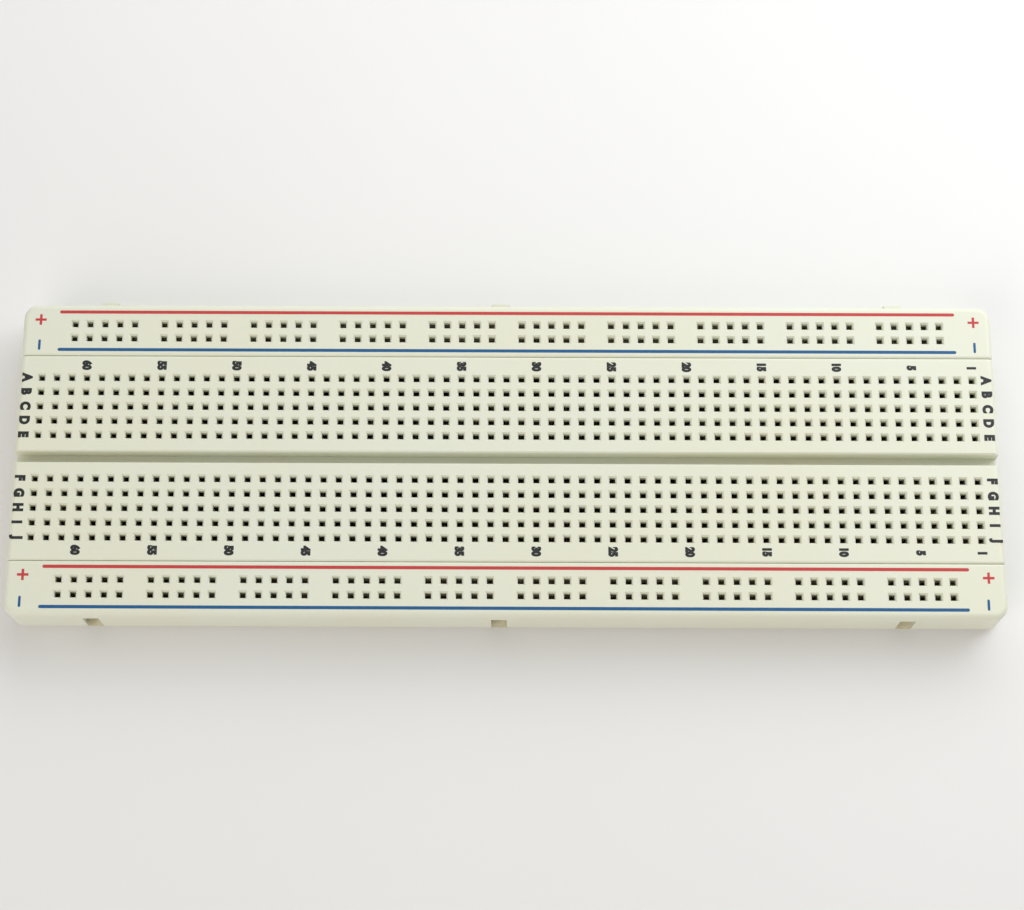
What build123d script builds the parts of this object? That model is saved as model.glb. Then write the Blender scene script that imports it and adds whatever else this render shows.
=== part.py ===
from build123d import *
from math import atan2, degrees
import os

# Solderless breadboard: a terminal strip between two bus strips, their sprung contacts and adhesive backing.
# Millimetres, +Z up. The origin is the centre of the board on the underside of the release liner. X runs along
# the board with column 1 at +X, and +Y points to the back bus strip.

# Tie-point grid
PITCH = 2.54
COLUMNS = 63
ROWS = 5
COLUMNS_PER_GROUP = 5
ROW_BLOCK_CENTRE = 3.5 * PITCH
BUS_GROUPS = 10
BUS_GROUP_PITCH = 6 * PITCH
BUS_CENTRE = 22.4
BUS_ROW_OFFSET = PITCH / 2

# Outline
BOARD_LENGTH = 65 * PITCH
BOARD_DEPTH = 54.6
TERMINAL_DEPTH = 35.9
SEAM_GAP = 0.05
OUTER_CORNER_RADIUS = 2.4
OUTER_EDGE_RADIUS = 1.0
SEAM_EDGE_RADIUS = 0.4

# Heights, from the underside of the liner
LINER_THICKNESS = 0.1
PAD_THICKNESS = 0.8
BODY_HEIGHT = 7.6
ROOF_THICKNESS = 1.4
BODY_BASE = LINER_THICKNESS + PAD_THICKNESS
BODY_TOP = BODY_BASE + BODY_HEIGHT
ROOF_BASE = BODY_TOP - ROOF_THICKNESS
PAD_INSET = 0.3
LINER_INSET = 0.2

# Tie points: a square funnel over a square hole over a contact cavity
HOLE_WIDTH = 1.0
FUNNEL_MOUTH = 1.45
FUNNEL_DEPTH = 0.35
FUNNEL_TAPER = degrees(atan2((FUNNEL_MOUTH - HOLE_WIDTH) / 2, FUNNEL_DEPTH))
CAVITY_WIDTH = 2.0
CAVITY_LENGTH = 12.4
RAIL_GROOVE_LENGTH = BUS_GROUPS * BUS_GROUP_PITCH - PITCH
RAIL_GROOVE_HEIGHT = 1.0

# Centre channel that separates the two row blocks
CHANNEL_WIDTH = 1.95
CHANNEL_DEPTH = 3.0
CHANNEL_CHAMFER = 0.2

# Dovetail joints between strips: slots in each front face, tabs on each back face
JOINT_CENTRE_X = -0.4 * PITCH
JOINT_SPACING = 26.5 * PITCH
JOINT_COUNT = 3
SLOT_MOUTH = 2.6
SLOT_DEPTH = 1.3
JOINT_FLARE = 0.4
SLOT_TOP = BODY_TOP - 2.1
TAB_NECK = SLOT_MOUTH - 0.3
TAB_LENGTH = 1.1
TAB_TOP = SLOT_TOP - 0.4
PAD_NOTCH_WIDTH = SLOT_MOUTH + 2 * JOINT_FLARE + 0.4
PAD_NOTCH_DEPTH = SLOT_DEPTH + 0.3

# Contacts: folded spring sheet with a pair of fingers under each tie point
SHEET = 0.2
CONTACT_WIDTH = 1.8
CONTACT_BASE_LENGTH = 12.1
RAIL_LENGTH = RAIL_GROOVE_LENGTH - 0.6
FINGER_WIDTH = 1.8
FINGER_SHOULDER = 2.0
FINGER_PINCH_HEIGHT = 4.3
FINGER_PINCH_GAP = 0.12
FINGER_TIP_HEIGHT = 5.6
FINGER_TIP_GAP = 0.9

SIDES = {"a_to_e": ROW_BLOCK_CENTRE, "f_to_j": -ROW_BLOCK_CENTRE}
BUS_STRIPS = {"front": -1, "back": 1}
RAILS = {"plus": BUS_ROW_OFFSET, "minus": -BUS_ROW_OFFSET}

os.makedirs("parts", exist_ok=True)


def export(part, name):
    """Label a finished piece and write it as its own file."""
    part.label = name
    export_step(part, f"parts/{name}.step", write_pcurves=False)


def column_x(column):
    """Return the place of a terminal column: 1 is furthest along +X."""
    return ((COLUMNS + 1) / 2 - column) * PITCH


def contact_columns(first):
    """Return the columns of the contact group that starts at the given column."""
    return range(first, min(first + COLUMNS_PER_GROUP, COLUMNS + 1))


def at_seam(shape):
    """Tell whether a shape lies at a seam, and not at the board's long outer faces."""
    return abs(shape.center().Y) < BUS_CENTRE


def strip_plan(height, front, back, inset=0):
    """Return the outline of one strip between two Y faces, rounded at the board's own corners."""
    with BuildSketch(Plane.XY.offset(height)) as plan:
        with Locations((0, (front + back) / 2)):
            Rectangle(BOARD_LENGTH - 2 * inset, back - front - 2 * inset)
        board_corners = plan.vertices().filter_by(lambda corner: not at_seam(corner))
        if board_corners:
            fillet(board_corners, OUTER_CORNER_RADIUS - inset)
    return plan.sketch


def strip_block(front, back):
    """Add a plain strip body, well rounded along its outer top edges and slightly along its seams."""
    extrude(strip_plan(BODY_BASE, front, back), amount=BODY_HEIGHT)
    top_edges = faces().sort_by(Axis.Z)[-1].edges()
    seam_top_edges = top_edges.filter_by(Axis.X).filter_by(at_seam)
    fillet(top_edges.filter_by(lambda edge: edge not in seam_top_edges), OUTER_EDGE_RADIUS)
    seam_faces = faces().filter_by(Axis.Y).filter_by(at_seam)
    fillet([edge for face in seam_faces for edge in face.edges().sort_by(Axis.Z)[1:]], SEAM_EDGE_RADIUS)


def dovetails(face_y, mouth, depth):
    """Return the plan of the joints' dovetails, narrow at face_y and wider towards +Y."""
    with BuildSketch(Plane.XY.offset(BODY_BASE)) as plan:
        with Locations((JOINT_CENTRE_X, face_y)):
            with GridLocations(JOINT_SPACING, 0, JOINT_COUNT, 1):
                Polygon(
                    (-mouth / 2, 0),
                    (mouth / 2, 0),
                    (mouth / 2 + JOINT_FLARE, depth),
                    (-mouth / 2 - JOINT_FLARE, depth),
                    align=None,
                )
    return plan.sketch


def joint_slots(front):
    """Cut the dovetail slots into the front face, roofed near the top and open underneath."""
    extrude(dovetails(front, SLOT_MOUTH, SLOT_DEPTH), amount=SLOT_TOP - BODY_BASE, mode=Mode.SUBTRACT)


def joint_tabs(back):
    """Add the dovetail tabs to the back face."""
    extrude(dovetails(back, TAB_NECK, TAB_LENGTH), amount=TAB_TOP - BODY_BASE)


def squares(height, width, grids):
    """Return one square for every tie point at the given height. A grid is (x, y, columns, rows)."""
    with BuildSketch(Plane.XY.offset(height)) as plan:
        for x, y, columns, rows in grids:
            with Locations((x, y)):
                with GridLocations(PITCH, PITCH, columns, rows):
                    Rectangle(width, width)
    return plan.sketch


def tie_points(grids):
    """Cut the square holes through the roof, and the funnels that lead into them."""
    extrude(squares(ROOF_BASE, HOLE_WIDTH, grids), amount=ROOF_THICKNESS, mode=Mode.SUBTRACT)
    funnels = squares(BODY_TOP, FUNNEL_MOUTH, grids)
    extrude(funnels, amount=-FUNNEL_DEPTH, taper=FUNNEL_TAPER, mode=Mode.SUBTRACT)


def backing_pad(front, back):
    """Return the foam pad under one strip, notched so that the joints' tabs can pass."""
    with BuildPart() as pad:
        extrude(strip_plan(LINER_THICKNESS, front, back, PAD_INSET), amount=PAD_THICKNESS)
        with BuildSketch(Plane.XY.offset(LINER_THICKNESS)):
            with Locations((JOINT_CENTRE_X, front + PAD_NOTCH_DEPTH / 2)):
                with GridLocations(JOINT_SPACING, 0, JOINT_COUNT, 1):
                    Rectangle(PAD_NOTCH_WIDTH, PAD_NOTCH_DEPTH)
        extrude(amount=PAD_THICKNESS, mode=Mode.SUBTRACT)
    return pad.part


def contact_strip(stations, base_length):
    """Return a folded contact: a base strip along X with a pair of sprung fingers at each station."""
    half = CONTACT_WIDTH / 2
    with BuildPart() as strip:
        with BuildSketch(Plane.XY):
            Rectangle(base_length, CONTACT_WIDTH)
        extrude(amount=SHEET)
        with BuildSketch(*[Plane.YZ.offset(x - FINGER_WIDTH / 2) for x in stations]):
            with BuildLine():
                Polyline(
                    (half, 0),
                    (half, FINGER_SHOULDER),
                    (FINGER_PINCH_GAP / 2 + SHEET, FINGER_PINCH_HEIGHT),
                    (FINGER_TIP_GAP / 2 + SHEET, FINGER_TIP_HEIGHT),
                    (FINGER_TIP_GAP / 2, FINGER_TIP_HEIGHT),
                    (FINGER_PINCH_GAP / 2, FINGER_PINCH_HEIGHT),
                    (half - SHEET, FINGER_SHOULDER),
                    (half - SHEET, 0),
                    close=True,
                )
            make_face()
            mirror(about=Plane.YZ)
        extrude(amount=FINGER_WIDTH)
    return strip.part


# Terminal strip body
terminal_half = TERMINAL_DEPTH / 2 - SEAM_GAP / 2
with BuildPart() as terminal_strip:
    strip_block(-terminal_half, terminal_half)
    with BuildSketch(Plane.YZ):
        with BuildLine():
            Polyline(
                (-CHANNEL_WIDTH / 2, BODY_TOP - CHANNEL_DEPTH),
                (CHANNEL_WIDTH / 2, BODY_TOP - CHANNEL_DEPTH),
                (CHANNEL_WIDTH / 2, BODY_TOP - CHANNEL_CHAMFER),
                (CHANNEL_WIDTH / 2 + CHANNEL_CHAMFER, BODY_TOP),
                (-CHANNEL_WIDTH / 2 - CHANNEL_CHAMFER, BODY_TOP),
                (-CHANNEL_WIDTH / 2, BODY_TOP - CHANNEL_CHAMFER),
                close=True,
            )
        make_face()
    extrude(amount=BOARD_LENGTH / 2, both=True, mode=Mode.SUBTRACT)
    joint_slots(-terminal_half)
    joint_tabs(terminal_half)
    with BuildSketch(Plane.XY.offset(BODY_BASE)):
        with GridLocations(PITCH, 2 * ROW_BLOCK_CENTRE, COLUMNS, 2):
            Rectangle(CAVITY_WIDTH, CAVITY_LENGTH)
    extrude(amount=ROOF_BASE - BODY_BASE, mode=Mode.SUBTRACT)
    tie_points([(0, y, COLUMNS, ROWS) for y in SIDES.values()])
export(terminal_strip.part, "terminal_strip_body")
export(backing_pad(-terminal_half, terminal_half), "terminal_foam_pad")

# Contacts of the terminal strip, five tie points each, grouped by the printed column numbers
contact = contact_strip([(row - (ROWS - 1) / 2) * PITCH for row in range(ROWS)], CONTACT_BASE_LENGTH)
for side, side_y in SIDES.items():
    for first in range(1, COLUMNS + 1, COLUMNS_PER_GROUP):
        group = contact_columns(first)
        with BuildPart() as contacts:
            with Locations(*[Location((column_x(c), side_y, BODY_BASE), (0, 0, 90)) for c in group]):
                add(contact)
        export(contacts.part, f"clips_{side}_col_{first:02d}_{group[-1]:02d}")

# Bus strips, one along each long side
group_centres = [(group - (BUS_GROUPS - 1) / 2) * BUS_GROUP_PITCH for group in range(BUS_GROUPS)]
tie_offsets = [(tie - (COLUMNS_PER_GROUP - 1) / 2) * PITCH for tie in range(COLUMNS_PER_GROUP)]
rail = contact_strip([x + offset for x in group_centres for offset in tie_offsets], RAIL_LENGTH)
seam_face = TERMINAL_DEPTH / 2 + SEAM_GAP / 2
for strip_name, side in BUS_STRIPS.items():
    front, back = sorted((side * seam_face, side * BOARD_DEPTH / 2))
    with BuildPart() as bus_strip:
        strip_block(front, back)
        joint_slots(front)
        joint_tabs(back)
        with BuildSketch(Plane.XY.offset(BODY_BASE)):
            with Locations((0, side * BUS_CENTRE)):
                with GridLocations(BUS_GROUP_PITCH, 2 * BUS_ROW_OFFSET, BUS_GROUPS, len(RAILS)):
                    Rectangle(CAVITY_LENGTH, CAVITY_WIDTH)
        extrude(amount=ROOF_BASE - BODY_BASE, mode=Mode.SUBTRACT)
        with BuildSketch(Plane.XY.offset(BODY_BASE)):
            with Locations((0, side * BUS_CENTRE)):
                with GridLocations(0, 2 * BUS_ROW_OFFSET, 1, len(RAILS)):
                    Rectangle(RAIL_GROOVE_LENGTH, CAVITY_WIDTH)
        extrude(amount=RAIL_GROOVE_HEIGHT, mode=Mode.SUBTRACT)
        tie_points([(x, side * BUS_CENTRE, COLUMNS_PER_GROUP, len(RAILS)) for x in group_centres])
    export(bus_strip.part, f"{strip_name}_bus_strip_body")
    export(backing_pad(front, back), f"{strip_name}_foam_pad")
    for rail_name, row_offset in RAILS.items():
        with BuildPart() as bus_rail:
            with Locations((0, side * BUS_CENTRE + row_offset, BODY_BASE)):
                add(rail)
        export(bus_rail.part, f"{strip_name}_{rail_name}_rail")

# Release liner under all three pads
with BuildPart() as liner:
    with BuildSketch():
        RectangleRounded(
            BOARD_LENGTH - 2 * LINER_INSET, BOARD_DEPTH - 2 * LINER_INSET, OUTER_CORNER_RADIUS - LINER_INSET
        )
    extrude(amount=LINER_THICKNESS)
export(liner.part, "release_liner")
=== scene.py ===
"""Finishes, printing and studio for the solderless breadboard."""

import math

import bmesh
import bpy
from bpy.props import FloatProperty, FloatVectorProperty, PointerProperty
from mathutils import Matrix, Vector


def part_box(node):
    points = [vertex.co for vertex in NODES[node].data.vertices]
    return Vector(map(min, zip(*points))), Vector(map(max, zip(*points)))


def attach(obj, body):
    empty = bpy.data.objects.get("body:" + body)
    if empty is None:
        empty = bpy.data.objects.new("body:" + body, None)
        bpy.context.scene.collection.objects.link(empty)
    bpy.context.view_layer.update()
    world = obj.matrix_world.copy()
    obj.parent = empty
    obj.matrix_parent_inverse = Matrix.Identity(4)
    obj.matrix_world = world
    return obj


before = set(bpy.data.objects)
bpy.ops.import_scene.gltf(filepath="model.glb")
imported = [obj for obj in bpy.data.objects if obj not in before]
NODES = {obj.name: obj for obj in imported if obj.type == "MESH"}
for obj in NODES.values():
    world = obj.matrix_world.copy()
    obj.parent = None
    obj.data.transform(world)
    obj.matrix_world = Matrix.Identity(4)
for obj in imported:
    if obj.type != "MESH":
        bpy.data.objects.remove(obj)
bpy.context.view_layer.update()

bl_info = {
    "name": "Solderless Breadboard",
    "version": (1, 0, 0),
    "blender": (4, 5, 0),
    "location": "3D View > Sidebar > Breadboard",
    "description": "Gives a solderless breadboard its plastic, metal, foam and printing",
    "category": "Object",
}

MM = 0.001
CONTACTS = [name for name in NODES if name.startswith("clips_") or name.endswith("_rail")]
PADS = [name for name in NODES if name.endswith("_foam_pad")]
STRIPS = {
    "front": "front_bus_strip",
    "terminal": "terminal_strip",
    "back": "back_bus_strip",
}
ROW_LETTERS = "ABCDEFGHIJ"
LAST_COLUMN = 63
LABEL_STEP = 5
LABELLED_COLUMNS = [1, *range(LABEL_STEP, LAST_COLUMN, LABEL_STEP)]

# Each half of the terminal strip has five rows, and its clips are in nodes of five columns
GROUP = 5
GROUP_MIDDLE = 3

# How the shared textures are tuned
NOISE_ROUGHNESS = 0.55
DRIFT_START, DRIFT_END = 0.35, 0.65
SLOW_WAVE = 14.0
EDGE_SAMPLES = 6
EDGE_FLAT, EDGE_TURNED = 0.99, 0.80
RUB_ANGLE = 0.6
RUB_STRETCH = 14
RUB_FINENESS = 3.0
RUB_START, RUB_END = 0.60, 0.72
RUB_LOW, RUB_HIGH = 0.5, 0.9
ROLLING_STRETCH = (1, 1, 0.08)
FIBRE_STRETCH = (0.3, 1, 1)
EVEN = (1, 1, 1)

# How thick the lettering is drawn, in the font's own units, before it is pressed flat
LETTER_SLAB = 0.1

# Points closer than this share of a radius or of the ink's thickness are one point
SAME_POINT = 0.01

# The stage: its lengths and places are in metres, and the sensor's width is in millimetres
FLOOR_HALF_WIDTH = 4
FLOOR_SQUARES = 8
FLOOR_GAP = 0.02 * MM
FLOOR_SHADE = 0.97
FLOOR_PATCH = 0.25
KEY_PLACE = (0.16, 0.35, 0.25)
KEY_SIZE = (0.7, 0.3)
SIDE_PLACE = (0.22, 0.10, 0.26)
SIDE_SIZE = (0.15, 0.15)
FILL_PLACE = (-0.40, -0.60, 0.45)
FILL_SIZE = (0.7, 0.7)
SENSOR_WIDTH = 36
NEAREST_SEEN = 0.01


def centre(*nodes):
    """The middle of the box round some CAD nodes."""
    corners = [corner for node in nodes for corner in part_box(node)]
    return [(min(c[i] for c in corners) + max(c[i] for c in corners)) / 2 for i in range(3)]


# Places on the board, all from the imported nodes
BOARD_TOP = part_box("terminal_strip_body")[1][2]
COLUMN_3 = centre("clips_a_to_e_col_01_05")
COLUMN_8 = centre("clips_a_to_e_col_06_10")
PITCH = (COLUMN_3[0] - COLUMN_8[0]) / GROUP
BACK_ROWS = COLUMN_3[1]
FRONT_ROWS = centre("clips_f_to_j_col_01_05")[1]
TERMINAL_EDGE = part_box("terminal_strip_body")[0][1]
BOARD_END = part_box("terminal_strip_body")[1][0]
BUS_CENTRE = {side: centre(f"{side}_plus_rail", f"{side}_minus_rail")[1] for side in ("front", "back")}


def column_x(column):
    """Where a column of tie points is: column 1 is furthest along +X."""
    return COLUMN_3[0] + (GROUP_MIDDLE - column) * PITCH


def row_y(index):
    """Where a row of tie points is: index 0 is row A, at the back."""
    row = index % GROUP + 1
    middle = BACK_ROWS if index < GROUP else FRONT_ROWS
    return middle + (GROUP_MIDDLE - row) * PITCH


def length(name, description, default):
    """A length that a user can change, in metres."""
    return FloatProperty(
        name=name, description=description, default=default, min=0.0, unit="LENGTH", precision=6
    )


def colour(name, description, default):
    """A colour that a user can change."""
    return FloatVectorProperty(
        name=name, description=description, default=default, min=0.0, max=1.0, size=3, subtype="COLOR"
    )


def factor(name, description, default):
    """A share from 0 to 1 that a user can change."""
    return FloatProperty(
        name=name, description=description, default=default, min=0.0, max=1.0, subtype="FACTOR"
    )


def power(name, description, default):
    """A lamp's power that a user can change."""
    return FloatProperty(name=name, description=description, default=default, min=0.0, unit="POWER")


def angle(name, description, degrees):
    """An angle that a user can change, given here in degrees."""
    return FloatProperty(
        name=name, description=description, default=math.radians(degrees), subtype="ANGLE"
    )


class BREADBOARD_PG_plastic(bpy.types.PropertyGroup):
    """The moulded strips."""

    ivory: colour("Ivory", "Main colour of the moulded plastic", (0.75, 0.765, 0.64))
    warm_ivory: colour("Warm ivory", "Colour that the plastic drifts towards", (0.75, 0.75, 0.605))
    # Painted highlight: the edges are mixed towards this lighter ivory, which stands in for light caught on
    # the rounded edges
    edge_ivory: colour("Edge ivory", "Colour of the thin polished edges", (0.83, 0.83, 0.71))
    edge_share: factor("Edge share", "How far the edges take on their own colour", 0.5)
    roughness: factor("Roughness", "How dull the satin surface is", 0.42)
    gloss_spread: factor("Gloss spread", "How much the gloss changes from place to place", 0.22)
    gloss_patch: length("Gloss patch", "Size of the patches of changed gloss", 9 * MM)
    refraction: FloatProperty(name="Refraction", description="Index of refraction", default=1.53)
    glow: factor("Glow", "How much light soaks into the plastic", 0.06)
    glow_depth: FloatVectorProperty(
        name="Glow depth",
        description="How deep red, green and blue light soak in",
        default=(0.9 * MM, 0.6 * MM, 0.3 * MM),
        size=3,
        precision=6,
    )
    patch_size: length("Patch size", "Size of the colour drift's patches", 30 * MM)
    grain_size: length("Grain size", "Size of the mould's fine texture", 0.16 * MM)
    grain_depth: length("Grain depth", "Depth of the mould's fine texture", 0.004 * MM)
    edge_radius: length("Edge radius", "How far the edges look rounded", 0.09 * MM)


class BREADBOARD_PG_contacts(bpy.types.PropertyGroup):
    """The sprung contacts inside the strips."""

    nickel: colour("Nickel", "Colour of the plated sheet", (0.72, 0.69, 0.63))
    tarnish: colour("Tarnish", "Colour that the plating drifts towards", (0.55, 0.49, 0.40))
    patch_size: length("Patch size", "Size of the tarnish's patches", 2.5 * MM)
    roughness: factor("Roughness", "How dull the plating is", 0.30)
    gloss_spread: factor("Gloss spread", "How much the gloss changes from place to place", 0.25)
    gloss_patch: length("Gloss patch", "Size of the patches of changed gloss", 1.5 * MM)
    scratch_size: length("Scratch size", "Width of the rolling marks", 0.05 * MM)
    scratch_depth: length("Scratch depth", "Depth of the rolling marks", 0.003 * MM)
    edge_radius: length("Edge radius", "How far the stamped edges look rounded", 0.05 * MM)


class BREADBOARD_PG_backing(bpy.types.PropertyGroup):
    """The foam pads and their liner."""

    foam: colour("Foam", "Colour of the foam", (0.80, 0.78, 0.70))
    # Painted shade: the cells' hollows are darkened towards this colour, which is also the colour that the
    # foam's random patches drift towards
    foam_shade: colour("Foam shade", "Colour inside the foam's open cells", (0.55, 0.53, 0.46))
    cell_size: length("Cell size", "Size of the foam's cells", 0.22 * MM)
    cell_depth: length("Cell depth", "Depth of the foam's cells", 0.05 * MM)
    cell_wall: factor("Cell wall", "Where a cell's wall starts, against its size", 0.1)
    cell_middle: factor("Cell middle", "Where a cell's wall is full, against its size", 0.6)
    foam_patch: length("Foam patch", "Size of the foam's patches of shade", 8 * MM)
    foam_patch_share: factor("Foam patch share", "How strong the foam's patches are", 0.25)
    foam_roughness: factor("Foam roughness", "How dull the foam is", 0.9)
    liner: colour("Liner", "Colour of the release liner", (0.80, 0.74, 0.56))
    liner_fibre: colour("Liner fibre", "Colour of the paper's fibres", (0.70, 0.63, 0.45))
    fibre_size: length("Fibre size", "Size of the paper's mottling", 0.9 * MM)
    fibre_depth: length("Fibre depth", "Depth of the paper's texture", 0.006 * MM)
    fibre_width: length("Fibre width", "Width of the paper's fibres", 0.3 * MM)
    roughness: factor("Liner roughness", "How dull the liner is", 0.45)
    gloss_spread: factor("Gloss spread", "How much the liner's gloss changes", 0.3)
    gloss_patch: length("Gloss patch", "Size of the patches of changed gloss", 6 * MM)
    wax: factor("Wax", "How glossy the liner's wax is", 0.15)


class BREADBOARD_PG_printing(bpy.types.PropertyGroup):
    """The pad-printed marks."""

    black: colour("Black", "Ink of the letters and numbers", (0.018, 0.019, 0.020))
    red: colour("Red", "Ink of the positive lines and signs", (0.55, 0.045, 0.045))
    blue: colour("Blue", "Ink of the negative lines and signs", (0.006, 0.10, 0.26))
    thinning: factor("Thinning", "How much of its colour the ink loses where it is thin", 0.10)
    thin_light: factor("Thin light", "How much light the plastic adds where the ink is thin", 0.04)
    thin_share: factor("Thin share", "How strong the thin patches are", 0.4)
    thin_patch: length("Thin patch", "Size of the thin patches", 0.5 * MM)
    roughness: factor("Roughness", "How dull the ink is", 0.5)
    gloss_spread: factor("Gloss spread", "How much the ink's gloss changes", 0.3)
    gloss_patch: length("Gloss patch", "Size of the patches of changed gloss", 1.2 * MM)
    grain_size: length("Grain size", "Size of the ink's fine texture", 0.12 * MM)
    grain_depth: length("Grain depth", "Depth of the ink's fine texture", 0.003 * MM)
    shine: factor("Shine", "How strongly the ink mirrors light", 0.35)
    thickness: length("Thickness", "How far the ink stands above the plastic", 0.015 * MM)
    line_width: length("Line width", "Width of the bus lines", 0.55 * MM)
    line_margin: length("Line margin", "Plain plastic past each end of a bus line", 6.2 * MM)
    line_offset: length("Line offset", "From the middle of a bus strip's holes to its lines", 3.4 * MM)
    blue_shift: length("Blue shift", "How far the front blue print sits towards column 63", 0.25 * MM)
    sign_size: length("Sign size", "Width and height of the plus and minus signs", 1.9 * MM)
    sign_stroke: length("Sign stroke", "Stroke width of the plus and minus signs", 0.42 * MM)
    sign_margin: length("Sign margin", "From the board's end to the signs", 3.05 * MM)
    plus_offset: length("Plus offset", "From the middle of a bus strip's holes to the plus sign", 2.0 * MM)
    minus_offset: length(
        "Minus offset", "From the middle of a bus strip's holes to the minus sign", 2.55 * MM
    )
    letter_height: length("Letter height", "Height of the row letters", 1.8 * MM)
    letter_margin: length("Letter margin", "From the board's end to the row letters", 1.45 * MM)
    number_height: length("Number height", "Height of the column numbers", 1.6 * MM)
    number_margin: length("Number margin", "From the terminal strip's long edge to the numbers", 1.75 * MM)
    letter_width: factor("Letter width", "Width of the letters against the font's own", 0.9)
    number_width: factor("Number width", "Width of the digits against the font's own", 0.85)
    letter_boldness: factor("Letter boldness", "How far the letters' strokes are swelled", 0.08)
    number_boldness: factor("Number boldness", "How far the digits' strokes are swelled", 0.09)


class BREADBOARD_PG_stage(bpy.types.PropertyGroup):
    """The floor, the lights and the camera."""

    floor: colour("Floor", "Colour of the floor", (0.84, 0.83, 0.82))
    floor_roughness: factor("Floor roughness", "How dull the floor is", 0.85)
    sky: colour("Sky", "Colour of the light from all round", (1.0, 0.975, 0.94))
    window: colour("Window", "Colour of the key and side lamps' light", (0.93, 0.97, 1.0))
    sky_strength: factor("Sky strength", "Strength of the light from all round", 0.46)
    key_power: power("Key power", "Power of the large lamp at the back", 1.65)
    side_power: power("Side power", "Power of the lamp at the right", 0.24)
    fill_power: power("Fill power", "Power of the lamp at the front", 2.9)
    aim: FloatVectorProperty(
        name="Aim",
        description="The point on the board's top that the camera looks at",
        default=(1.0 * MM, 0.5 * MM, BOARD_TOP),
        size=3,
        subtype="TRANSLATION",
        unit="LENGTH",
    )
    distance: length("Distance", "From the camera to the point it looks at", 367.6 * MM)
    azimuth: angle("Azimuth", "Camera's turn from the front", 0.66)
    elevation: angle("Elevation", "Camera's angle above the floor", 72.8)
    roll: angle("Roll", "Camera's tilt to one side", -0.42)
    lens: FloatProperty(name="Lens", description="Focal length in millimetres", default=77.2)


class BREADBOARD_PG_settings(bpy.types.PropertyGroup):
    """All settings of the breadboard."""

    plastic: PointerProperty(type=BREADBOARD_PG_plastic)
    contacts: PointerProperty(type=BREADBOARD_PG_contacts)
    backing: PointerProperty(type=BREADBOARD_PG_backing)
    printing: PointerProperty(type=BREADBOARD_PG_printing)
    stage: PointerProperty(type=BREADBOARD_PG_stage)


# Node helpers


def add_node(tree, kind, settings=None, inputs=None):
    """Add a node. Inputs are given by name or number, as a value or as the socket that feeds them."""
    node = tree.nodes.new(kind)
    for name, value in (settings or {}).items():
        setattr(node, name, value)
    for name, value in (inputs or {}).items():
        if isinstance(value, bpy.types.NodeSocket):
            tree.links.new(value, node.inputs[name])
        else:
            node.inputs[name].default_value = value
    return node


def rgba(value):
    """A colour with full alpha."""
    return (*value, 1.0)


def maths(tree, operation, first, second):
    """The result of one sum on two values or sockets."""
    return add_node(tree, "ShaderNodeMath", {"operation": operation}, {0: first, 1: second}).outputs[0]


def remap(tree, value, low, high, to_low, to_high):
    """A value moved from one range to another and kept inside it."""
    limits = {"From Min": low, "From Max": high, "To Min": to_low, "To Max": to_high}
    return add_node(tree, "ShaderNodeMapRange", {"clamp": True}, {"Value": value, **limits}).outputs["Result"]


def mix_colour(tree, amount, first, second):
    """A mix of two colours."""
    return add_node(tree, "ShaderNodeMix", {"data_type": "RGBA"}, {0: amount, 6: first, 7: second}).outputs[2]


def noise(tree, vector, scale, detail):
    """A noise value at the given number of patches to the metre."""
    inputs = {"Vector": vector, "Scale": scale, "Detail": detail, "Roughness": NOISE_ROUGHNESS}
    return add_node(tree, "ShaderNodeTexNoise", {}, inputs).outputs["Fac"]


def own_place(tree):
    """The place on the piece, in metres."""
    return add_node(tree, "ShaderNodeTexCoord").outputs["Object"]


def new_group(name, inputs, outputs):
    """Make an empty shader node group. Sockets are given as name and kind."""
    tree = bpy.data.node_groups.new(name, "ShaderNodeTree")
    for socket, kind in inputs:
        tree.interface.new_socket(name=socket, in_out="INPUT", socket_type=kind)
    for socket, kind in outputs:
        tree.interface.new_socket(name=socket, in_out="OUTPUT", socket_type=kind)
    return tree, tree.nodes.new("NodeGroupInput").outputs, tree.nodes.new("NodeGroupOutput").inputs


def shared(build):
    """The node group that a builder makes, built once and named after the builder."""
    return bpy.data.node_groups.get(build.__name__) or build(build.__name__)


def use_group(tree, build, **inputs):
    """Place a shared group in a material. Input names are given with underscores for spaces."""
    settings = {"node_tree": shared(build)}
    values = {name.replace("_", " "): value for name, value in inputs.items()}
    return add_node(tree, "ShaderNodeGroup", settings, values).outputs


def colour_drift(name):
    """One colour drifts into another in soft patches."""
    tree, given, out = new_group(
        name,
        [("Colour", "NodeSocketColor"), ("Second", "NodeSocketColor"), ("Patch size", "NodeSocketFloat")],
        [("Colour", "NodeSocketColor")],
    )
    scale = maths(tree, "DIVIDE", 1.0, given["Patch size"])
    patches = noise(tree, own_place(tree), scale, detail=4.0)
    mask = remap(tree, patches, DRIFT_START, DRIFT_END, 0.0, 1.0)
    tree.links.new(mix_colour(tree, mask, given["Colour"], given["Second"]), out["Colour"])
    return tree


def fine_grain(name):
    """A fine even texture over a slow wave, as on moulded and rolled surfaces."""
    tree, given, out = new_group(
        name,
        [("Grain size", "NodeSocketFloat"), ("Stretch", "NodeSocketVector")],
        [("Height", "NodeSocketFloat")],
    )
    scale = maths(tree, "DIVIDE", 1.0, given["Grain size"])
    stretching = {0: own_place(tree), 1: given["Stretch"]}
    place = add_node(tree, "ShaderNodeVectorMath", {"operation": "MULTIPLY"}, stretching).outputs[0]
    fine = noise(tree, place, scale, detail=3.0)
    slow = noise(tree, place, maths(tree, "DIVIDE", scale, SLOW_WAVE), detail=2.0)
    tree.links.new(maths(tree, "ADD", fine, slow), out["Height"])
    return tree


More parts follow.
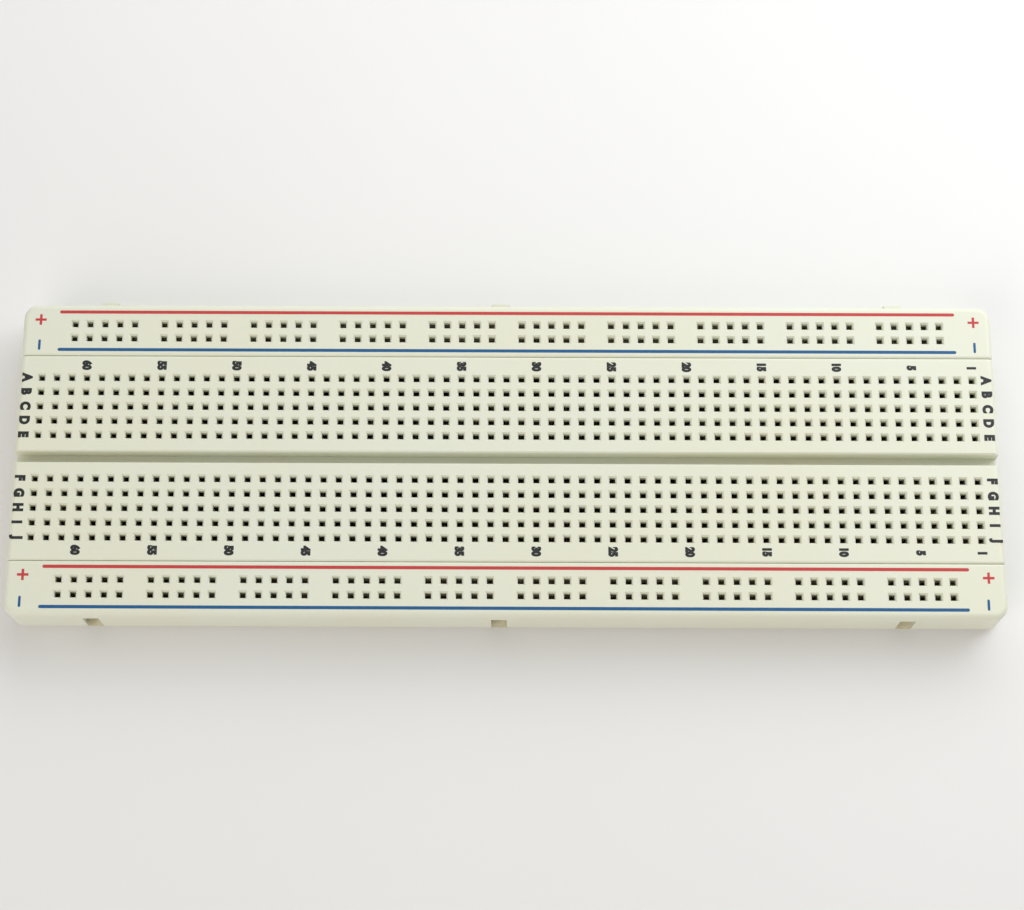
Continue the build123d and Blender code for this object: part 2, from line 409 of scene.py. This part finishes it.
def soft_edges(name):
    """Rounded normals at the edges, and a mask of where the edges are."""
    tree, given, out = new_group(
        name,
        [("Radius", "NodeSocketFloat")],
        [("Normal", "NodeSocketVector"), ("Mask", "NodeSocketFloat")],
    )
    rounding = {"Radius": given["Radius"]}
    bevel = add_node(tree, "ShaderNodeBevel", {"samples": EDGE_SAMPLES}, rounding).outputs[0]
    flat = add_node(tree, "ShaderNodeNewGeometry").outputs["Normal"]
    product = add_node(tree, "ShaderNodeVectorMath", {"operation": "DOT_PRODUCT"}, {0: bevel, 1: flat})
    tree.links.new(bevel, out["Normal"])
    edge = remap(tree, product.outputs["Value"], EDGE_FLAT, EDGE_TURNED, 0.0, 1.0)
    tree.links.new(edge, out["Mask"])
    return tree


def handling(name):
    """Gloss that changes slowly from place to place, with fine short rubs across it."""
    tree, given, out = new_group(
        name,
        [("Roughness", "NodeSocketFloat"), ("Spread", "NodeSocketFloat"), ("Patch size", "NodeSocketFloat")],
        [("Roughness", "NodeSocketFloat")],
    )
    scale = maths(tree, "DIVIDE", 1.0, given["Patch size"])
    patches = noise(tree, own_place(tree), scale, detail=6.0)
    slant = {"Vector": own_place(tree), "Rotation": (0, 0, RUB_ANGLE), "Scale": (1, RUB_STRETCH, 1)}
    slanted = add_node(tree, "ShaderNodeMapping", {}, slant).outputs["Vector"]
    streaks = noise(tree, slanted, maths(tree, "MULTIPLY", scale, RUB_FINENESS), detail=2.0)
    rubs = remap(tree, streaks, RUB_START, RUB_END, RUB_LOW, RUB_HIGH)
    swing = maths(tree, "MULTIPLY", maths(tree, "SUBTRACT", patches, rubs), given["Spread"])
    tree.links.new(maths(tree, "ADD", given["Roughness"], swing), out["Roughness"])
    return tree


def gloss(tree, settings):
    """The handling marks of a finish, from its own settings."""
    return use_group(
        tree,
        handling,
        Roughness=settings.roughness,
        Spread=settings.gloss_spread,
        Patch_size=settings.gloss_patch,
    )


def new_material(name):
    """A material with an empty tree, its tree and its shader."""
    material = bpy.data.materials.new(name)
    material.use_nodes = True
    tree = material.node_tree
    tree.nodes.clear()
    shader = tree.nodes.new("ShaderNodeBsdfPrincipled")
    output = tree.nodes.new("ShaderNodeOutputMaterial")
    tree.links.new(shader.outputs["BSDF"], output.inputs["Surface"])
    return material, tree, shader


def feed(tree, shader, **sockets):
    """Feed sockets into the shader's inputs, named with underscores for spaces."""
    for name, socket in sockets.items():
        tree.links.new(socket, shader.inputs[name.replace("_", " ")])


def bump(tree, height, distance, normal=None):
    """A normal that is bent by a height."""
    inputs = {"Height": height, "Distance": distance, "Strength": 1.0}
    if normal is not None:
        inputs["Normal"] = normal
    return add_node(tree, "ShaderNodeBump", {}, inputs).outputs["Normal"]


# Finishes


def ivory_plastic(settings):
    """Satin moulded plastic with a fine spark-eroded texture, and a painted highlight that lightens its
    edges.
    """
    material, tree, shader = new_material("ivory_plastic")
    drift = use_group(
        tree,
        colour_drift,
        Colour=rgba(settings.ivory),
        Second=rgba(settings.warm_ivory),
        Patch_size=settings.patch_size,
    )
    edges = use_group(tree, soft_edges, Radius=settings.edge_radius)
    # Painted highlight: the rounded edges are mixed towards the lighter edge colour
    edge_share = maths(tree, "MULTIPLY", edges["Mask"], settings.edge_share)
    base = mix_colour(tree, edge_share, drift["Colour"], rgba(settings.edge_ivory))
    dulled = gloss(tree, settings)
    grain = use_group(tree, fine_grain, Grain_size=settings.grain_size, Stretch=EVEN)
    normal = bump(tree, grain["Height"], settings.grain_depth, edges["Normal"])
    feed(tree, shader, Base_Color=base, Roughness=dulled["Roughness"], Normal=normal)
    shader.inputs["IOR"].default_value = settings.refraction
    shader.inputs["Subsurface Weight"].default_value = settings.glow
    shader.inputs["Subsurface Radius"].default_value = settings.glow_depth
    shader.inputs["Subsurface Scale"].default_value = 1.0
    return material


def plated_spring(settings):
    """Nickel-plated spring sheet with rolling marks and a little tarnish."""
    material, tree, shader = new_material("plated_spring")
    drift = use_group(
        tree,
        colour_drift,
        Colour=rgba(settings.nickel),
        Second=rgba(settings.tarnish),
        Patch_size=settings.patch_size,
    )
    edges = use_group(tree, soft_edges, Radius=settings.edge_radius)
    base = mix_colour(tree, edges["Mask"], drift["Colour"], rgba(settings.nickel))
    dulled = gloss(tree, settings)
    marks = use_group(tree, fine_grain, Grain_size=settings.scratch_size, Stretch=ROLLING_STRETCH)
    normal = bump(tree, marks["Height"], settings.scratch_depth, edges["Normal"])
    feed(tree, shader, Base_Color=base, Roughness=dulled["Roughness"], Normal=normal)
    shader.inputs["Metallic"].default_value = 1.0
    return material


def backing_foam(settings):
    """Closed-cell foam with cut cells at its edges, with painted shade darkening the cells' hollows."""
    material, tree, shader = new_material("backing_foam")
    place = own_place(tree)
    layout = {"Vector": place, "Scale": 1 / settings.cell_size}
    cells = add_node(tree, "ShaderNodeTexVoronoi", {"feature": "F1"}, layout).outputs["Distance"]
    depth = remap(tree, cells, settings.cell_wall, settings.cell_middle, 0.0, 1.0)
    drift = use_group(
        tree,
        colour_drift,
        Colour=rgba(settings.foam),
        Second=rgba(settings.foam_shade),
        Patch_size=settings.foam_patch,
    )
    lit = mix_colour(tree, settings.foam_patch_share, rgba(settings.foam), drift["Colour"])
    # Painted shade: the hollow of each cell is mixed towards the foam's shade colour
    base = mix_colour(tree, depth, rgba(settings.foam_shade), lit)
    feed(tree, shader, Base_Color=base, Normal=bump(tree, depth, settings.cell_depth))
    shader.inputs["Roughness"].default_value = settings.foam_roughness
    return material


def liner_paper(settings):
    """Waxed release paper with a faint fibre mottle."""
    material, tree, shader = new_material("liner_paper")
    drift = use_group(
        tree,
        colour_drift,
        Colour=rgba(settings.liner),
        Second=rgba(settings.liner_fibre),
        Patch_size=settings.fibre_size,
    )
    dulled = gloss(tree, settings)
    grain = use_group(tree, fine_grain, Grain_size=settings.fibre_width, Stretch=FIBRE_STRETCH)
    normal = bump(tree, grain["Height"], settings.fibre_depth)
    feed(tree, shader, Base_Color=drift["Colour"], Roughness=dulled["Roughness"], Normal=normal)
    shader.inputs["Coat Weight"].default_value = settings.wax
    return material


def printing_ink(name, ink, settings):
    """Pad-printing ink, slightly uneven in cover and in gloss. Each colour is made once."""
    material = bpy.data.materials.get(name)
    if material:
        return material
    material, tree, shader = new_material(name)
    thin = tuple((1 - settings.thinning) * part + settings.thin_light for part in ink)
    drift = use_group(
        tree, colour_drift, Colour=rgba(ink), Second=rgba(thin), Patch_size=settings.thin_patch
    )
    base = mix_colour(tree, settings.thin_share, rgba(ink), drift["Colour"])
    dulled = gloss(tree, settings)
    grain = use_group(tree, fine_grain, Grain_size=settings.grain_size, Stretch=EVEN)
    normal = bump(tree, grain["Height"], settings.grain_depth)
    feed(tree, shader, Base_Color=base, Roughness=dulled["Roughness"], Normal=normal)
    shader.inputs["Specular IOR Level"].default_value = settings.shine
    return material


def studio_floor(settings):
    """A plain matt sheet."""
    material, tree, shader = new_material("studio_floor")
    shade = tuple(FLOOR_SHADE * part for part in settings.floor)
    drift = use_group(
        tree, colour_drift, Colour=rgba(settings.floor), Second=rgba(shade), Patch_size=FLOOR_PATCH
    )
    feed(tree, shader, Base_Color=drift["Colour"])
    shader.inputs["Roughness"].default_value = settings.floor_roughness
    return material


# Mesh helpers


def dress(nodes, material):
    """Give CAD nodes a finish."""
    for node in nodes:
        piece = NODES[node]
        if not piece.material_slots:
            raise RuntimeError(f"{node} has no material slot")
        for piece_slot in piece.material_slots:
            piece_slot.material = material


def printed_piece(name, mesh, body, material):
    """Make a printed mark a piece that moves with its strip."""
    piece = bpy.data.objects.new(name, mesh)
    bpy.context.scene.collection.objects.link(piece)
    mesh.materials.append(material)
    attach(piece, body)


def ink_mesh(name, outlines, thickness):
    """A mesh of flat marks, each an outline of points on the board's top."""
    marks = bmesh.new()
    for outline in outlines:
        corners = [marks.verts.new((x, y, BOARD_TOP)) for x, y in outline]
        face = marks.faces.new(corners)
        raised = bmesh.ops.extrude_face_region(marks, geom=[face])["geom"]
        top = [part for part in raised if isinstance(part, bmesh.types.BMVert)]
        bmesh.ops.translate(marks, verts=top, vec=(0, 0, thickness))
    bmesh.ops.recalc_face_normals(marks, faces=marks.faces)
    mesh = bpy.data.meshes.new(name)
    marks.to_mesh(mesh)
    marks.free()
    return mesh


def bar(x, y, width, height, steps=6):
    """The outline of a bar centred on a point, with rounded ends of some steps to a quarter turn."""
    radius = min(width, height) / 2
    points = []
    for quarter, (side_x, side_y) in enumerate(((1, 1), (-1, 1), (-1, -1), (1, -1))):
        corner_x = x + side_x * (width / 2 - radius)
        corner_y = y + side_y * (height / 2 - radius)
        for step in range(steps + 1):
            turn = (quarter + step / steps) * math.pi / 2
            points.append((corner_x + radius * math.cos(turn), corner_y + radius * math.sin(turn)))
    unique = []
    for point in points:
        if not unique or math.dist(point, unique[-1]) > radius * SAME_POINT:
            unique.append(point)
    if math.dist(unique[0], unique[-1]) < radius * SAME_POINT:
        unique.pop()
    return unique


def plus(x, y, size, stroke):
    """The outline of a plus sign, centred on a point."""
    arm, half = size / 2, stroke / 2
    corners = [(half, half), (half, arm), (-half, arm), (-half, half), (-arm, half), (-arm, -half)]
    corners += [(-half, -half), (-half, -arm), (half, -arm), (half, -half), (arm, -half), (arm, half)]
    return [(x + across, y + along) for across, along in corners]


def text_mesh(text, boldness):
    """A mesh of some text, one unit to the font's size."""
    curve = bpy.data.curves.new("lettering", "FONT")
    curve.body = text
    curve.extrude = LETTER_SLAB
    curve.bevel_depth = boldness
    curve.bevel_resolution = 1
    writer = bpy.data.objects.new("lettering", curve)
    mesh = bpy.data.meshes.new_from_object(writer)
    bpy.data.objects.remove(writer)
    bpy.data.curves.remove(curve)
    return mesh


def span(mesh, axis):
    """The lowest and highest coordinate of a mesh along an axis."""
    values = [vertex.co[axis] for vertex in mesh.vertices]
    return min(values), max(values)


def lettering(name, labels, height, width_share, boldness, thickness):
    """A mesh of labels, given as text, x and y, with their tops towards +X."""
    capital = text_mesh("H", boldness)
    low, high = span(capital, 1)
    scale = height / (high - low)
    marks = bmesh.new()
    for text, x, y in labels:
        glyphs = text_mesh(text, boldness)
        across, up, (bottom, top) = (span(glyphs, axis) for axis in range(3))
        middle = Vector((-sum(across) / 2, -sum(up) / 2, -bottom))
        size = Matrix.Diagonal((scale * width_share, scale, thickness / (top - bottom), 1))
        turn = Matrix.Rotation(-math.pi / 2, 4, "Z")
        place = Matrix.Translation((x, y, BOARD_TOP))
        glyphs.transform(place @ turn @ size @ Matrix.Translation(middle))
        marks.from_mesh(glyphs)
        bpy.data.meshes.remove(glyphs)
    bmesh.ops.remove_doubles(marks, verts=marks.verts, dist=thickness * SAME_POINT)
    bmesh.ops.recalc_face_normals(marks, faces=marks.faces)
    bpy.data.meshes.remove(capital)
    mesh = bpy.data.meshes.new(name)
    marks.to_mesh(mesh)
    marks.free()
    return mesh


# Operators


class BREADBOARD_OT_plastic(bpy.types.Operator):
    """Finish the three moulded strip bodies"""

    bl_idname = "breadboard.plastic"
    bl_label = "Strip bodies"

    def execute(self, context):
        bodies = [f"{side}_bus_strip_body" for side in BUS_CENTRE] + ["terminal_strip_body"]
        dress(bodies, ivory_plastic(context.scene.breadboard.plastic))
        return {"FINISHED"}


class BREADBOARD_OT_contacts(bpy.types.Operator):
    """Finish the terminal clips and the bus rails"""

    bl_idname = "breadboard.contacts"
    bl_label = "Contacts"

    def execute(self, context):
        dress(CONTACTS, plated_spring(context.scene.breadboard.contacts))
        return {"FINISHED"}


class BREADBOARD_OT_backing(bpy.types.Operator):
    """Finish the foam pads and the release liner"""

    bl_idname = "breadboard.backing"
    bl_label = "Foam and liner"

    def execute(self, context):
        settings = context.scene.breadboard.backing
        dress(PADS, backing_foam(settings))
        dress(["release_liner"], liner_paper(settings))
        return {"FINISHED"}


def blue_place(side, settings):
    """How far along the board the blue print of a bus strip is moved."""
    return -settings.blue_shift if side == "front" else 0


class BREADBOARD_OT_bus_lines(bpy.types.Operator):
    """Print the red and blue line along each bus strip"""

    bl_idname = "breadboard.bus_lines"
    bl_label = "Bus lines"

    def execute(self, context):
        settings = context.scene.breadboard.printing
        length_along = 2 * (BOARD_END - settings.line_margin)
        for side, middle in BUS_CENTRE.items():
            for ink_name, ink, x, direction in (
                ("red", settings.red, 0, 1),
                ("blue", settings.blue, blue_place(side, settings), -1),
            ):
                outline = bar(x, middle + direction * settings.line_offset, length_along, settings.line_width)
                name = f"{side}_{ink_name}_line"
                mesh = ink_mesh(name, [outline], settings.thickness)
                printed_piece(name, mesh, STRIPS[side], printing_ink(f"{ink_name}_ink", ink, settings))
        return {"FINISHED"}


class BREADBOARD_OT_signs(bpy.types.Operator):
    """Print the plus and minus signs at both ends of each bus strip"""

    bl_idname = "breadboard.signs"
    bl_label = "Plus and minus signs"

    def execute(self, context):
        settings = context.scene.breadboard.printing
        place = BOARD_END - settings.sign_margin
        size, stroke = settings.sign_size, settings.sign_stroke
        for side, middle in BUS_CENTRE.items():
            pluses = [plus(x, middle + settings.plus_offset, size, stroke) for x in (-place, place)]
            minus_y = middle - settings.minus_offset
            shift = blue_place(side, settings)
            minuses = [bar(x + shift, minus_y, stroke, size, steps=2) for x in (-place, place)]
            for sign, outlines, ink_name, ink in (
                ("plus", pluses, "red_ink", settings.red),
                ("minus", minuses, "blue_ink", settings.blue),
            ):
                name = f"{side}_{sign}_signs"
                mesh = ink_mesh(name, outlines, settings.thickness)
                printed_piece(name, mesh, STRIPS[side], printing_ink(ink_name, ink, settings))
        return {"FINISHED"}


class BREADBOARD_OT_row_letters(bpy.types.Operator):
    """Print the row letters at both ends of the terminal strip"""

    bl_idname = "breadboard.row_letters"
    bl_label = "Row letters"

    def execute(self, context):
        settings = context.scene.breadboard.printing
        place = BOARD_END - settings.letter_margin
        for end, x in (("left", -place), ("right", place)):
            labels = [(letter, x, row_y(index)) for index, letter in enumerate(ROW_LETTERS)]
            name = f"{end}_row_letters"
            mesh = lettering(
                name,
                labels,
                settings.letter_height,
                settings.letter_width,
                settings.letter_boldness,
                settings.thickness,
            )
            printed_piece(name, mesh, STRIPS["terminal"], printing_ink("black_ink", settings.black, settings))
        return {"FINISHED"}


class BREADBOARD_OT_column_numbers(bpy.types.Operator):
    """Print the column numbers along both long edges of the terminal strip"""

    bl_idname = "breadboard.column_numbers"
    bl_label = "Column numbers"

    def execute(self, context):
        settings = context.scene.breadboard.printing
        for side, edge in (("front", TERMINAL_EDGE), ("back", -TERMINAL_EDGE)):
            y = edge - math.copysign(settings.number_margin, edge)
            labels = [(str(column), column_x(column), y) for column in LABELLED_COLUMNS]
            name = f"{side}_column_numbers"
            mesh = lettering(
                name,
                labels,
                settings.number_height,
                settings.number_width,
                settings.number_boldness,
                settings.thickness,
            )
            printed_piece(name, mesh, STRIPS["terminal"], printing_ink("black_ink", settings.black, settings))
        return {"FINISHED"}


def floor_sheet(settings):
    """The floor under the board."""
    sheet = bmesh.new()
    bmesh.ops.create_grid(
        sheet, x_segments=FLOOR_SQUARES, y_segments=FLOOR_SQUARES, size=FLOOR_HALF_WIDTH
    )
    mesh = bpy.data.meshes.new("floor")
    sheet.to_mesh(mesh)
    sheet.free()
    floor = bpy.data.objects.new("floor", mesh)
    floor.location.z = -FLOOR_GAP
    mesh.materials.append(studio_floor(settings))
    bpy.context.scene.collection.objects.link(floor)


def soft_lamp(name, place, size, strength, light):
    """A large flat lamp, hidden from the camera, that faces the board."""
    data = bpy.data.lights.new(name, "AREA")
    data.shape = "RECTANGLE"
    data.size, data.size_y = size
    data.energy = strength
    data.color = light
    lamp = bpy.data.objects.new(name, data)
    lamp.location = place
    lamp.visible_camera = False
    towards_board = Vector((0, 0, BOARD_TOP)) - Vector(place)
    lamp.rotation_euler = towards_board.to_track_quat("-Z", "Y").to_euler()
    bpy.context.scene.collection.objects.link(lamp)


def studio_camera(settings):
    """The camera, placed by its angles round the point it looks at."""
    azimuth, elevation = settings.azimuth, settings.elevation
    away = Vector(
        (
            math.cos(elevation) * math.sin(azimuth),
            -math.cos(elevation) * math.cos(azimuth),
            math.sin(elevation),
        )
    )
    data = bpy.data.cameras.new("camera")
    data.lens = settings.lens
    data.sensor_width = SENSOR_WIDTH
    data.clip_start = NEAREST_SEEN
    camera = bpy.data.objects.new("camera", data)
    camera.location = Vector(settings.aim) + away * settings.distance
    turn = (-away).to_track_quat("-Z", "Y").to_matrix().to_4x4() @ Matrix.Rotation(settings.roll, 4, "Z")
    camera.rotation_euler = turn.to_euler()
    bpy.context.scene.collection.objects.link(camera)
    bpy.context.scene.camera = camera


class BREADBOARD_OT_stage(bpy.types.Operator):
    """Set up the floor, the lights and the camera"""

    bl_idname = "breadboard.stage"
    bl_label = "Stage"

    def execute(self, context):
        settings = context.scene.breadboard.stage
        floor_sheet(settings)
        soft_lamp("key_lamp", KEY_PLACE, KEY_SIZE, settings.key_power, settings.window)
        soft_lamp("side_lamp", SIDE_PLACE, SIDE_SIZE, settings.side_power, settings.window)
        soft_lamp("fill_lamp", FILL_PLACE, FILL_SIZE, settings.fill_power, settings.sky)
        world = bpy.data.worlds.new("studio")
        world.use_nodes = True
        background = world.node_tree.nodes["Background"]
        background.inputs["Color"].default_value = rgba(settings.sky)
        background.inputs["Strength"].default_value = settings.sky_strength
        context.scene.world = world
        context.scene.view_settings.view_transform = "Standard"
        studio_camera(settings)
        return {"FINISHED"}


class BREADBOARD_PT_panel(bpy.types.Panel):
    """Lists the breadboard's operators"""

    bl_idname = "BREADBOARD_PT_panel"
    bl_label = "Solderless Breadboard"
    bl_space_type = "VIEW_3D"
    bl_region_type = "UI"
    bl_category = "Breadboard"

    def draw(self, context):
        for operator in OPERATORS:
            self.layout.operator(operator.bl_idname)


OPERATORS = (
    BREADBOARD_OT_plastic,
    BREADBOARD_OT_contacts,
    BREADBOARD_OT_backing,
    BREADBOARD_OT_bus_lines,
    BREADBOARD_OT_signs,
    BREADBOARD_OT_row_letters,
    BREADBOARD_OT_column_numbers,
    BREADBOARD_OT_stage,
)
CLASSES = (
    BREADBOARD_PG_plastic,
    BREADBOARD_PG_contacts,
    BREADBOARD_PG_backing,
    BREADBOARD_PG_printing,
    BREADBOARD_PG_stage,
    BREADBOARD_PG_settings,
    *OPERATORS,
    BREADBOARD_PT_panel,
)


def register():
    """Register the classes and the scene's settings."""
    for kind in CLASSES:
        bpy.utils.register_class(kind)
    bpy.types.Scene.breadboard = PointerProperty(type=BREADBOARD_PG_settings)


def unregister():
    """Take the settings and the classes away again."""
    del bpy.types.Scene.breadboard
    for kind in reversed(CLASSES):
        bpy.utils.unregister_class(kind)


def main():
    """Build everything in order."""
    register()
    for operator in OPERATORS:
        group, action = operator.bl_idname.split(".")
        getattr(getattr(bpy.ops, group), action)()


if __name__ == "__main__":
    main()
